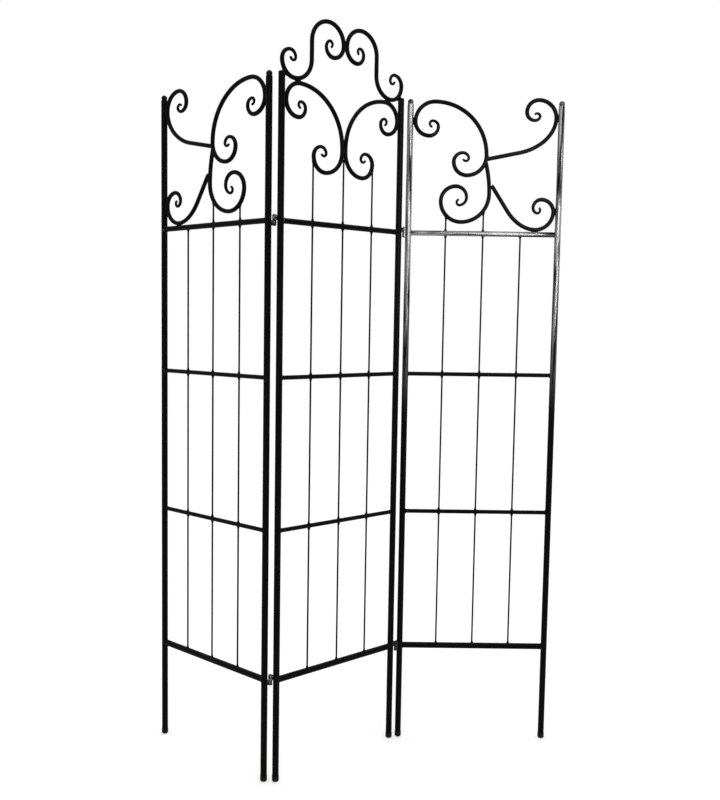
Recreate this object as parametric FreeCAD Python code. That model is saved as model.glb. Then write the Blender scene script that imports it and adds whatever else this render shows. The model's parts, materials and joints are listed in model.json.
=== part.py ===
"""Folding trellis: three hinged panels of round tube and bar with scrollwork.

Each panel is built flat, with X along the panel from its first post, Y away from the viewer and
Z up, and is then turned and set in its place. The origin of the whole trellis is on the floor,
under the middle of the folded plan. The right panel lies along X.
"""
import FreeCAD
import Part
import math
import os

# Panels: distance between the middles of the two posts
post_spacing = 388.0

# Rest position: how far each side panel is folded out of line with the centre panel, in degrees
left_fold_angle = 84.0
right_fold_angle = 41.0

# Posts, with a foot below and a cap above
post_diameter = 16.0
post_wall = 1.2
plug_clearance = 0.1
plug_length = 18.0
foot_lip = 0.6
foot_height = 14.0
foot_round = 5.0
cap_collar = 1.5
cap_neck_diameter = 12.6
cap_ball_diameter = 15.2
plain_top_drop = 1.0
plain_top_round = 3.0

# Rails across each panel, counted from the bottom one
rail_count = 4
bottom_rail_height = 254.0
rail_spacing = 365.0
bottom_rail_diameter = 15.6
top_rail_diameter = 13.6
end_rail_wall = 1.2
middle_rail_diameter = 10.6
middle_rail_wall = 1.0

# Upright wires, evenly spaced between the posts
wire_count = 3
wire_diameter = 4.4
wire_clearance = 0.1

# Scroll bars; each curl below has a first radius, a ratio from one quarter turn to the next, and
# the angle in degrees that it winds through before the tight hook at the bar's end
bar_diameter = 10.6
bar_tip_diameter = 5.9
tip_arcs = 3
hook_radius = 7.5
hook_angle = 176.0
weld_gap = 0.1

# Side panel: arch scroll from the hinge post to just past the middle of the panel
arch_top_drop = 5.5
arch_past_middle = 4.0
arch_rise_radius = 50.0
arch_upper_curl_radius = 36.0
arch_upper_curl_ratio = 0.64
arch_upper_curl_angle = 270.0
arch_lower_curl_radius = 50.0
arch_lower_curl_ratio = 0.68
arch_lower_curl_angle = 343.0

# Side panel: lower scroll above the top rail, under the arch scroll
lower_scroll_rail_gap = 17.5
lower_scroll_drop = 97.0
lower_scroll_step = 9.4
lower_scroll_stem_radius = 300.0
lower_scroll_curl_radius = 72.0
lower_scroll_curl_ratio = 0.73
lower_scroll_curl_angle = 438.0

# Side panel: upper and lower branches to the outer post; each one unwinds from its curl in arcs
# that grow by a ratio, and then runs straight to where it starts
branch_arcs = 3
upper_branch_drop = 43.0
upper_branch_start_drop = 9.0
upper_branch_unwind_ratio = 1.45
upper_branch_curl_radius = 45.0
upper_branch_curl_ratio = 0.68
upper_branch_curl_angle = 325.0
lower_branch_start_rise = 21.0
lower_branch_start_step = 6.5
lower_branch_unwind_ratio = 1.38
lower_branch_curl_radius = 46.0
lower_branch_curl_ratio = 0.68
lower_branch_curl_angle = 330.0

# Centre panel: two hearts
heart_top_drop = 20.0
heart_rise_radius = 42.0
heart_upper_curl_radius = 35.5
heart_upper_curl_ratio = 0.63
heart_upper_curl_angle = 260.0
heart_straight = 8.0
heart_lower_curl_radius = 54.5
heart_lower_curl_ratio = 0.66
heart_lower_curl_angle = 345.0

# Centre panel: two crown scrolls
crown_foot_place = 38.4
crown_foot_radius = 50.5
crown_straight = 44.2
crown_curl_radius = 47.3
crown_curl_ratio = 0.69
crown_curl_angle = 332.0
crown_outer_curl_radius = 38.2
crown_outer_curl_ratio = 0.64
crown_outer_curl_angle = 270.0

# Hinges, one at each end rail on both hinge lines
hinge_post_gap = 6.0
knuckle_diameter = 10.0
knuckle_height = 12.0
knuckle_gap = 0.4
knuckle_post_clearance = 1.4
web_width = 5.0
pin_diameter = 5.0
pin_running_clearance = 0.05
pin_seat_clearance = 0.02
pin_head_diameter = 8.4
pin_head_height = 2.4
pin_head_clearance = 0.3
pin_tail = 0.8

# Sizes that follow from the ones above
post_radius = post_diameter / 2
bar_radius = bar_diameter / 2
wire_radius = wire_diameter / 2
cap_ball_radius = cap_ball_diameter / 2
cap_neck_radius = cap_neck_diameter / 2
beside_post = post_radius + bar_radius + weld_gap
beside_middle = post_spacing / 2 - bar_radius - weld_gap
rail_heights = [bottom_rail_height + rail_spacing * number for number in range(rail_count)]
top_rail_height = rail_heights[-1]
on_top_rail = top_rail_height + top_rail_diameter / 2 + bar_radius
wire_places = [post_spacing * (number + 1) / (wire_count + 1) for number in range(wire_count)]

# Side scrolls are stacked on the top rail: lower scroll, arch scroll, then the tops of the posts
arch_outside_x = post_spacing / 2 + arch_past_middle
arch_fall_radius = arch_outside_x - beside_post - arch_rise_radius
lower_scroll_x = arch_outside_x + lower_scroll_step
lower_scroll_z = on_top_rail + lower_scroll_rail_gap + lower_scroll_curl_radius
arch_outside_z = lower_scroll_z + lower_scroll_drop
post_height = arch_outside_z + arch_fall_radius + arch_top_drop
plain_top_height = post_height - plain_top_drop
ball_seat = math.sqrt(cap_ball_radius ** 2 - cap_neck_radius ** 2)
ball_post_top = post_height - cap_collar - ball_seat - cap_ball_radius
plain_post_top = plain_top_height - plain_top_round

# Hearts fill the width between a post and the middle line, and the crown stands on them
heart_side_z = post_height - heart_top_drop - heart_rise_radius
heart_fall_radius = beside_middle - beside_post - heart_rise_radius
heart_middle_z = heart_side_z + heart_rise_radius - heart_fall_radius - heart_straight
heart_top_x = beside_post + heart_rise_radius
crown_reach = heart_rise_radius + crown_foot_radius + bar_diameter + weld_gap
crown_lift = math.sqrt(crown_reach ** 2 - (heart_top_x - crown_foot_place) ** 2)
crown_foot_z = heart_side_z + crown_lift - crown_foot_radius
crown_rise_radius = beside_middle - crown_foot_place - crown_foot_radius - crown_curl_radius

# Hinge axes stand behind the panels, clear of the posts on both sides
hinge_reach = post_radius + knuckle_diameter / 2 + knuckle_post_clearance
hinge_along = post_radius + hinge_post_gap / 2
hinge_behind = math.sqrt(hinge_reach ** 2 - hinge_along ** 2)
right_angle = 90.0
quarter_turn = math.radians(right_angle)
angle_halvings = 40

Z_AXIS = FreeCAD.Vector(0, 0, 1)
ORIGIN = FreeCAD.Vector(0, 0, 0)


def in_plane(x, z):
    """Point in the middle plane of a panel."""
    return FreeCAD.Vector(x, 0, z)


class BarPath:
    """A bent bar's middle line in the panel's plane, made of tangent arcs and straight runs."""

    def __init__(self, x, z, heading):
        self.x = x
        self.z = z
        self.heading = heading
        self.edges = []

    def run(self, length):
        """Go straight on."""
        start = in_plane(self.x, self.z)
        self.x += length * math.cos(self.heading)
        self.z += length * math.sin(self.heading)
        self.edges.append(Part.LineSegment(start, in_plane(self.x, self.z)).toShape())
        return self

    def bend(self, radius, angle):
        """Turn through an angle, to the left where it is positive."""
        side = math.copysign(1.0, angle)
        centre_x = self.x - side * radius * math.sin(self.heading)
        centre_z = self.z + side * radius * math.cos(self.heading)
        points = []
        for turned in (0.0, angle / 2, angle):
            spoke = self.heading + turned - side * quarter_turn
            x = centre_x + radius * math.cos(spoke)
            z = centre_z + radius * math.sin(spoke)
            points.append(in_plane(x, z))
        self.edges.append(Part.Arc(*points).toShape())
        self.x = points[-1].x
        self.z = points[-1].z
        self.heading += angle
        return self

    def curl(self, radius, ratio, degrees, side):
        """Wind inwards, each quarter turn smaller than the last by the ratio, and end in a hook."""
        left = degrees
        while left > 0:
            self.bend(radius, side * math.radians(min(left, right_angle)))
            radius *= ratio
            left -= right_angle
        return self.bend(hook_radius, side * math.radians(hook_angle))

    def unwind(self, radius, ratio, angle):
        """Turn to the right through an angle in equal arcs, each larger than the last by the ratio."""
        for _ in range(branch_arcs):
            radius *= ratio
            self.bend(radius, -angle / branch_arcs)
        return self

    def has_on_right(self, x, z):
        """Whether a point lies to the right of the way that the path now heads."""
        return (x - self.x) * math.sin(self.heading) > (z - self.z) * math.cos(self.heading)


def end_disc(edge, diameter, at_start=False):
    """Circle around one end of a path's edge, square to it."""
    place = edge.FirstParameter if at_start else edge.LastParameter
    return Part.Wire(Part.makeCircle(diameter / 2, edge.valueAt(place), edge.tangentAt(place)))


def bar_sides(edges, start_diameter, end_diameter):
    """Outside faces of a round bar along a path, from one diameter to another."""
    shell = Part.BRepOffsetAPI.MakePipeShell(Part.Wire(edges))
    shell.add(end_disc(edges[0], start_diameter, at_start=True))
    if end_diameter != start_diameter:
        shell.add(end_disc(edges[-1], end_diameter))
    shell.build()
    return shell.shape().Faces


def bent_bar(curls, stems, around):
    """Bar with two arms that leave one point, the last arcs of each curl drawn out thinner.

    A gap all around makes it the space that other pieces keep clear of.
    """
    thick = bar_diameter + 2 * around
    thin = bar_tip_diameter + 2 * around
    faces = []
    for stem in stems:
        faces += bar_sides(stem.edges, thick, thick)
        faces.append(Part.Face(end_disc(stem.edges[-1], thick)))
    for curl in curls:
        faces += bar_sides(curl.edges[:-tip_arcs], thick, thick)
        faces += bar_sides(curl.edges[-tip_arcs:], thick, thin)
        faces.append(Part.Face(end_disc(curl.edges[-1], thin)))
    shell = Part.makeShell(faces)
    shell.sewShape()
    return Part.makeSolid(shell)


def keep_largest(shape):
    """The largest solid that a cut leaves."""
    return max(shape.Solids, key=lambda solid: solid.Volume)


def cylinder(diameter, height, x, y, z):
    """Upright cylinder on its bottom centre."""
    return Part.makeCylinder(diameter / 2, height, FreeCAD.Vector(x, y, z), Z_AXIS)


def turned(points_and_arcs):
    """Solid of revolution about Z from an outline of segments, each a list of 2 or 3 points."""
    edges = []
    for points in points_and_arcs:
        vectors = [in_plane(x, z) for x, z in points]
        if len(vectors) == 3:
            edges.append(Part.Arc(*vectors).toShape())
        else:
            edges.append(Part.LineSegment(*vectors).toShape())
    return Part.Face(Part.Wire(edges)).revolve(ORIGIN, Z_AXIS, 360)


def on_arc(centre_x, centre_z, radius, degrees):
    """Point on a circle in an outline."""
    angle = math.radians(degrees)
    return (centre_x + radius * math.cos(angle), centre_z + radius * math.sin(angle))


def post(x, top):
    """Tube from the top of its foot to the underside of its cap."""
    height = top - foot_height
    outside = cylinder(post_diameter, height, x, 0, foot_height)
    inside = cylinder(post_diameter - 2 * post_wall, height, x, 0, foot_height)
    return outside.cut(inside)


def plug_radius():
    """Radius of a spigot that slides into a post."""
    return post_radius - post_wall - plug_clearance


def foot(x):
    """Plug in the lower end of a post, with a lip outside and a rounded bottom edge."""
    lip = post_radius + foot_lip
    plug = plug_radius()
    plug_top = foot_height + plug_length
    middle = on_arc(lip - foot_round, foot_round, foot_round, -45)
    outline = [
        [(0, 0), (lip - foot_round, 0)],
        [(lip - foot_round, 0), middle, (lip, foot_round)],
        [(lip, foot_round), (lip, foot_height)],
        [(lip, foot_height), (plug, foot_height)],
        [(plug, foot_height), (plug, plug_top)],
        [(plug, plug_top), (0, plug_top)],
        [(0, plug_top), (0, 0)],
    ]
    return turned(outline).translated(FreeCAD.Vector(x, 0, 0))


def ball_cap(x):
    """Ball on a short neck and collar, with a plug in the upper end of a post."""
    plug = plug_radius()
    plug_bottom = ball_post_top - plug_length
    neck_base = ball_post_top + cap_collar
    ball_middle = neck_base + ball_seat
    outline = [
        [(0, plug_bottom), (plug, plug_bottom)],
        [(plug, plug_bottom), (plug, ball_post_top)],
        [(plug, ball_post_top), (post_radius, ball_post_top)],
        [(post_radius, ball_post_top), (cap_neck_radius, neck_base)],
        [(cap_neck_radius, neck_base), (cap_ball_radius, ball_middle), (0, post_height)],
        [(0, post_height), (0, plug_bottom)],
    ]
    return turned(outline).translated(FreeCAD.Vector(x, 0, 0))


def plain_cap(x):
    """Flat top with a rounded edge, with a plug in the upper end of a post."""
    plug = plug_radius()
    plug_bottom = plain_post_top - plug_length
    flat = post_radius - plain_top_round
    middle = on_arc(flat, plain_post_top, plain_top_round, 45)
    outline = [
        [(0, plug_bottom), (plug, plug_bottom)],
        [(plug, plug_bottom), (plug, plain_post_top)],
        [(plug, plain_post_top), (post_radius, plain_post_top)],
        [(post_radius, plain_post_top), middle, (flat, plain_top_height)],
        [(flat, plain_top_height), (0, plain_top_height)],
        [(0, plain_top_height), (0, plug_bottom)],
    ]
    return turned(outline).translated(FreeCAD.Vector(x, 0, 0))


def rail_diameter(number):
    """The bottom rail is the thickest, then the top one, then those between them."""
    if number == 0:
        return bottom_rail_diameter
    return top_rail_diameter if number == rail_count - 1 else middle_rail_diameter


def rail_wall(number):
    """Wall of a rail's tube."""
    return end_rail_wall if number in (0, rail_count - 1) else middle_rail_wall


def rail(number, wires):
    """Tube across a panel, shaped at its ends to the posts and drilled for the wires."""
    height = rail_heights[number]
    along = FreeCAD.Vector(1, 0, 0)
    diameter = rail_diameter(number)
    bore = diameter - 2 * rail_wall(number)
    tube = Part.makeCylinder(diameter / 2, post_spacing, in_plane(0, height), along)
    tube = tube.cut(Part.makeCylinder(bore / 2, post_spacing, in_plane(0, height), along))
    reach = diameter + post_diameter
    for x in (0, post_spacing):
        tube = tube.cut(cylinder(post_diameter + 2 * weld_gap, reach, x, 0, height - reach / 2))
    for x in wires:
        hole = wire_diameter + 2 * wire_clearance
        tube = tube.cut(cylinder(hole, reach, x, 0, height - reach / 2))
    return tube


def wire_foot():
    """Height at which the wires stand on the bottom rail."""
    return bottom_rail_height + bottom_rail_diameter / 2 + weld_gap


def short_wire(x):
    """Wire from the bottom rail to the underside of the top rail."""
    top = top_rail_height - top_rail_diameter / 2 - weld_gap
    return cylinder(wire_diameter, top - wire_foot(), x, 0, wire_foot())


def long_wire(x, top, scrolls):
    """Wire from the bottom rail up to the scrolls that stop it."""
    wire = cylinder(wire_diameter, top - wire_foot(), x, 0, wire_foot())
    for scroll in scrolls:
        wire = wire.cut(scroll)
    return min(wire.Solids, key=lambda solid: solid.BoundBox.ZMin)


def branch_stem(x, z, heading, radius, ratio, start_x, start_z):
    """Stem of a branch from its curl to where the branch starts.

    The angle that it unwinds through is halved in on until the straight run points at the start.
    """
    least = 0.0
    most = quarter_turn
    for _ in range(angle_halvings):
        angle = (least + most) / 2
        stem = BarPath(x, z, heading).unwind(radius, ratio, angle)
        if stem.has_on_right(start_x, start_z):
            least = angle
        else:
            most = angle
    return stem.run(math.hypot(start_x - stem.x, start_z - stem.z))


def arch_scroll(around=0.0):
    """C-shaped bar of a side panel, tangent to its hinge post."""
    z = post_height - arch_top_drop - arch_rise_radius
    upper = BarPath(beside_post, z, -quarter_turn)
    upper.curl(arch_upper_curl_radius, arch_upper_curl_ratio, arch_upper_curl_angle, 1)
    lower = BarPath(beside_post, z, quarter_turn)
    lower.bend(arch_rise_radius, -quarter_turn)
    lower.bend(arch_fall_radius, -quarter_turn)
    lower.curl(arch_lower_curl_radius, arch_lower_curl_ratio, arch_lower_curl_angle, -1)
    return bent_bar([upper, lower], [], around)


def lower_scroll(around=0.0):
    """Round curl of a side panel with a stem up to the arch scroll."""
    stem = BarPath(lower_scroll_x, lower_scroll_z, quarter_turn)
    stem.bend(lower_scroll_stem_radius, lower_scroll_drop / lower_scroll_stem_radius)
    curl = BarPath(lower_scroll_x, lower_scroll_z, -quarter_turn)
    curl.curl(lower_scroll_curl_radius, lower_scroll_curl_ratio, lower_scroll_curl_angle, -1)
    return bent_bar([curl], [stem], around)


def upper_branch(around=0.0):
    """Bar of a side panel from the arch scroll to a curl against the outer post."""
    x = post_spacing - beside_post
    z = post_height - upper_branch_drop
    start_x = arch_outside_x
    start_z = arch_outside_z - upper_branch_start_drop
    stem = branch_stem(
        x, z, -quarter_turn, upper_branch_curl_radius, upper_branch_unwind_ratio, start_x, start_z)
    curl = BarPath(x, z, quarter_turn)
    curl.curl(upper_branch_curl_radius, upper_branch_curl_ratio, upper_branch_curl_angle, 1)
    return bent_bar([curl], [stem], around)


def lower_branch(around=0.0):
    """Bar of a side panel from the lower scroll to a curl on the top rail and the outer post."""
    x = post_spacing - beside_post - lower_branch_curl_radius
    z = on_top_rail + weld_gap
    start_x = lower_scroll_x + lower_branch_start_step
    start_z = lower_scroll_z + lower_branch_start_rise
    stem = branch_stem(
        x, z, math.pi, lower_branch_curl_radius, lower_branch_unwind_ratio, start_x, start_z)
    curl = BarPath(x, z, 0.0)
    curl.curl(lower_branch_curl_radius, lower_branch_curl_ratio, lower_branch_curl_angle, 1)
    return bent_bar([curl], [stem], around)


def heart_scroll(around=0.0):
    """Left C-shaped bar of the centre panel, tangent to its post and to the middle line."""
    upper = BarPath(beside_post, heart_side_z, -quarter_turn)
    upper.curl(heart_upper_curl_radius, heart_upper_curl_ratio, heart_upper_curl_angle, 1)
    lower = BarPath(beside_post, heart_side_z, quarter_turn)
    lower.bend(heart_rise_radius, -quarter_turn)
    lower.bend(heart_fall_radius, -quarter_turn)
    lower.run(heart_straight)
    lower.curl(heart_lower_curl_radius, heart_lower_curl_ratio, heart_lower_curl_angle, -1)
    return bent_bar([upper, lower], [], around)


def crown_scroll(around=0.0):
    """Left S-shaped bar above the centre panel: rests on a heart and touches the middle line."""
    outer = BarPath(crown_foot_place, crown_foot_z, math.pi)
    outer.curl(crown_outer_curl_radius, crown_outer_curl_ratio, crown_outer_curl_angle, -1)
    inner = BarPath(crown_foot_place, crown_foot_z, 0.0)
    inner.bend(crown_foot_radius, quarter_turn)
    inner.run(crown_straight)
    inner.bend(crown_rise_radius, -quarter_turn)
    inner.curl(crown_curl_radius, crown_curl_ratio, crown_curl_angle, -1)
    return bent_bar([outer, inner], [], around)


def across_panel(shape):
    """The shape mirrored about a panel's upright middle line."""
    return shape.mirror(in_plane(post_spacing / 2, 0), FreeCAD.Vector(1, 0, 0))


def side_panel():
    """Pieces of a side panel whose hinge post comes first."""
    around_arch = arch_scroll(weld_gap)
    around_lower = lower_scroll(weld_gap)
    upper_arm = keep_largest(upper_branch().cut(around_arch))
    pieces = {
        "hinge_post": post(0, ball_post_top),
        "outer_post": post(post_spacing, ball_post_top),
        "caps": Part.makeCompound([ball_cap(0), ball_cap(post_spacing)]),
        "feet": Part.makeCompound([foot(0), foot(post_spacing)]),
        "arch_scroll": arch_scroll(),
        "lower_scroll": keep_largest(lower_scroll().cut(around_arch)),
        "upper_branch": keep_largest(upper_arm.cut(around_lower)),
        "lower_branch": keep_largest(lower_branch().cut(around_lower)),
    }
    long_wires = wire_places[:-1]
    drilled = [[]] + [wire_places] * (rail_count - 2) + [long_wires]
    for number, holes in enumerate(drilled):
        pieces[rail_name(number)] = rail(number, holes)
    for number, x in enumerate(wire_places):
        if x in long_wires:
            pieces[wire_name(number)] = long_wire(x, lower_scroll_z, [around_lower])
        else:
            pieces[wire_name(number)] = short_wire(x)
    return pieces


def middle_wire_top():
    """Height at which a wire on the middle line meets the two hearts."""
    outside = heart_lower_curl_radius + bar_radius + weld_gap
    return heart_middle_z - math.sqrt(outside ** 2 - (outside - wire_radius) ** 2)


def centre_panel():
    """Pieces of the centre panel, whose left post comes first."""
    around_crown = crown_scroll(weld_gap)
    around_heart = heart_scroll(weld_gap)
    around_hearts = [around_heart, across_panel(around_heart)]
    left_post = post(0, plain_post_top).cut(around_crown)
    left_cap = keep_largest(plain_cap(0).cut(around_crown))
    heart = heart_scroll()
    crown = crown_scroll()
    pieces = {
        "left_post": left_post,
        "right_post": across_panel(left_post),
        "caps": Part.makeCompound([left_cap, across_panel(left_cap)]),
        "feet": Part.makeCompound([foot(0), foot(post_spacing)]),
        "left_heart": heart,
        "right_heart": across_panel(heart),
        "left_crown": crown,
        "right_crown": across_panel(crown),
    }
    for number in range(rail_count):
        holes = wire_places if number > 0 else []
        pieces[rail_name(number)] = rail(number, holes)
    for number, x in enumerate(wire_places):
        pieces[wire_name(number)] = long_wire(x, middle_wire_top(), around_hearts)
    return pieces


def wire_name(number):
    """Name of a wire, counted from the first post."""
    return f"wire_{number + 1}"


def rail_name(number):
    """Name of a rail, counted from the bottom."""
    return f"rail_{number + 1}"


def along(heading, length):
    """Step along a panel that points in a heading, in the floor plan."""
    angle = math.radians(heading)
    return FreeCAD.Vector(length * math.cos(angle), length * math.sin(angle), 0)


def across(heading, length):
    """Step square to a panel, away from the viewer, in the floor plan."""
    return along(heading + right_angle, length)


def floor_plan():
    """Headings of the panels, and places of the posts and hinge axes, in the floor plan."""
    heading = {"right": 0.0, "centre": right_fold_angle}
    heading["left"] = right_fold_angle - left_fold_angle
    place = {"centre_left": ORIGIN}
    place["centre_right"] = along(heading["centre"], post_spacing)
    back = across(heading["centre"], hinge_behind)
    place["left_axis"] = place["centre_left"] - along(heading["centre"], hinge_along) + back
    place["right_axis"] = place["centre_right"] + along(heading["centre"], hinge_along) - back
    to_left = along(heading["left"], hinge_along) + across(heading["left"], hinge_behind)
    to_right = along(heading["right"], hinge_along) + across(heading["right"], hinge_behind)
    place["left_hinge"] = place["left_axis"] - to_left
    place["right_hinge"] = place["right_axis"] + to_right
    place["left_outer"] = place["left_hinge"] - along(heading["left"], post_spacing)
    place["right_outer"] = place["right_hinge"] + along(heading["right"], post_spacing)
    posts = [point for name, point in place.items() if not name.endswith("axis")]
    middle_x = (min(point.x for point in posts) + max(point.x for point in posts)) / 2
    middle_y = (min(point.y for point in posts) + max(point.y for point in posts)) / 2
    middle = FreeCAD.Vector(middle_x, middle_y, 0)
    return heading, {name: point - middle for name, point in place.items()}


def stand(shape, place, heading):
    """The shape turned to a panel's heading and set in its place."""
    return shape.rotated(ORIGIN, Z_AXIS, heading).translated(place)


def knuckle(axis, post_place, bottom, bore):
    """Hinge knuckle with a web that is welded to its post."""
    barrel = cylinder(knuckle_diameter, knuckle_height, axis.x, axis.y, bottom)
    reach = post_place - axis
    web = Part.makeBox(reach.Length, web_width, knuckle_height, FreeCAD.Vector(0, -web_width / 2, 0))
    turn = math.degrees(math.atan2(reach.y, reach.x))
    web = stand(web, FreeCAD.Vector(axis.x, axis.y, bottom), turn)
    welded_to = cylinder(
        post_diameter + 2 * weld_gap, knuckle_height, post_place.x, post_place.y, bottom)
    solid = barrel.fuse(web.cut(welded_to)).removeSplitter()
    return solid.cut(cylinder(bore, knuckle_height, axis.x, axis.y, bottom))


def pin(axis, height):
    """Hinge pin with a domed head, seated in the lower knuckle."""
    radius = pin_diameter / 2
    head = pin_head_diameter / 2
    bottom = height - knuckle_gap / 2 - knuckle_height - pin_tail
    neck = height + knuckle_gap / 2 + knuckle_height + pin_head_clearance
    top = neck + pin_head_height
    dome = (head ** 2 + pin_head_height ** 2) / (2 * pin_head_height)
    half_dome = math.degrees(math.asin(head / dome)) / 2
    middle = on_arc(0, top - dome, dome, right_angle - half_dome)
    outline = [
        [(0, bottom), (radius, bottom)],
        [(radius, bottom), (radius, neck)],
        [(radius, neck), (head, neck)],
        [(head, neck), middle, (0, top)],
        [(0, top), (0, bottom)],
    ]
    return turned(outline).translated(axis)


def hinges(place):
    """Two hinges on each hinge line, each with two knuckles and a pin."""
    pieces = {}
    levels = {"upper": top_rail_height, "lower": bottom_rail_height}
    for side in ("left", "right"):
        axis = place[f"{side}_axis"]
        for level, height in levels.items():
            name = f"{side}_{level}_hinge"
            upper_bottom = height + knuckle_gap / 2
            lower_bottom = height - knuckle_gap / 2 - knuckle_height
            running = pin_diameter + 2 * pin_running_clearance
            seat = pin_diameter + 2 * pin_seat_clearance
            pieces[f"{name}_top_knuckle"] = knuckle(
                axis, place[f"centre_{side}"], upper_bottom, running)
            pieces[f"{name}_bottom_knuckle"] = knuckle(
                axis, place[f"{side}_hinge"], lower_bottom, seat)
            pieces[f"{name}_pin"] = pin(axis, height)
    return pieces


def whole_trellis():
    """Every piece by its name, in its place."""
    heading, place = floor_plan()
    pieces = {}
    side = side_panel()
    for name, shape in side.items():
        pieces[f"right_{name}"] = stand(shape, place["right_hinge"], heading["right"])
        mirrored = shape.mirror(ORIGIN, FreeCAD.Vector(1, 0, 0))
        pieces[f"left_{name}"] = stand(mirrored, place["left_hinge"], heading["left"])
    for name, shape in centre_panel().items():
        pieces[f"centre_{name}"] = stand(shape, place["centre_left"], heading["centre"])
    pieces.update(hinges(place))
    return pieces


def main():
    """Write one file for each piece."""
    os.makedirs("parts", exist_ok=True)
    for name, shape in whole_trellis().items():
        shape.exportStep(os.path.join("parts", f"{name}.step"))
        print(name, len(shape.Solids), shape.isValid(), round(shape.Volume))


if __name__ == "__main__":
    main()
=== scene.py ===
"""Looks of a folding trellis: three hinged panels of black painted steel with scrollwork.

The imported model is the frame. This file gives each of its nodes a finish, adds the weld beads that
hold the panels together, and sets up the studio: floor, white surround, lamps and camera. Lengths
are in metres in the frame's own axes: X along the right panel, Y away from the viewer, Z up.
"""
import json
import logging
import math
import random
from dataclasses import dataclass, field, replace
from enum import Enum
from typing import Union

import bpy
import numpy as np
from mathutils import Matrix, Vector
from mathutils.bvhtree import BVHTree


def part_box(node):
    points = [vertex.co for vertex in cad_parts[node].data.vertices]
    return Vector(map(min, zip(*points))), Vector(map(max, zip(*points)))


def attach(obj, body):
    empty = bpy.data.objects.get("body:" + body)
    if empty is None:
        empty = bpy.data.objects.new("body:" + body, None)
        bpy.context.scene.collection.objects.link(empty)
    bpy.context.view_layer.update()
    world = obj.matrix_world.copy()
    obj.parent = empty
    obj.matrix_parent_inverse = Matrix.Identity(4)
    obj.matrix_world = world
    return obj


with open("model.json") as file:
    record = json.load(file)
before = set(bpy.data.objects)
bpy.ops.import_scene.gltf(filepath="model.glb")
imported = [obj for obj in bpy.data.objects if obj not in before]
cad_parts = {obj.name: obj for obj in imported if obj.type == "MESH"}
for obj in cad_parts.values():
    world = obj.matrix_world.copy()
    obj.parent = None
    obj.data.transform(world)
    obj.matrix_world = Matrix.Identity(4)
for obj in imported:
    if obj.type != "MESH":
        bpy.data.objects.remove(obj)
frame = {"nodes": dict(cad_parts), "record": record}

LOG = logging.getLogger("trellis")
MM = 0.001
UP = Vector((0.0, 0.0, 1.0))
BEAD_SEED = 11
WHITE = (1.0, 1.0, 1.0, 1.0)

Colour = tuple[float, float, float, float]
Feed = Union[bpy.types.NodeSocket, float, Colour, tuple[float, float, float]]


class Slot(Enum):
    """Material slots of the record."""

    POST = "post_paint"
    RAIL = "rail_paint"
    WIRE = "wire_paint"
    SCROLL = "scroll_paint"
    CAP = "cap_paint"
    FOOT = "foot_plastic"
    HINGE = "hinge_paint"
    PIN = "hinge_pin"


class Step(Enum):
    """Sums that the finishes use."""

    ADD = "ADD"
    MULTIPLY = "MULTIPLY"
    MAXIMUM = "MAXIMUM"


class Socket(Enum):
    """Kinds of socket on a surface effect."""

    VALUE = "NodeSocketFloat"
    VECTOR = "NodeSocketVector"


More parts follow.
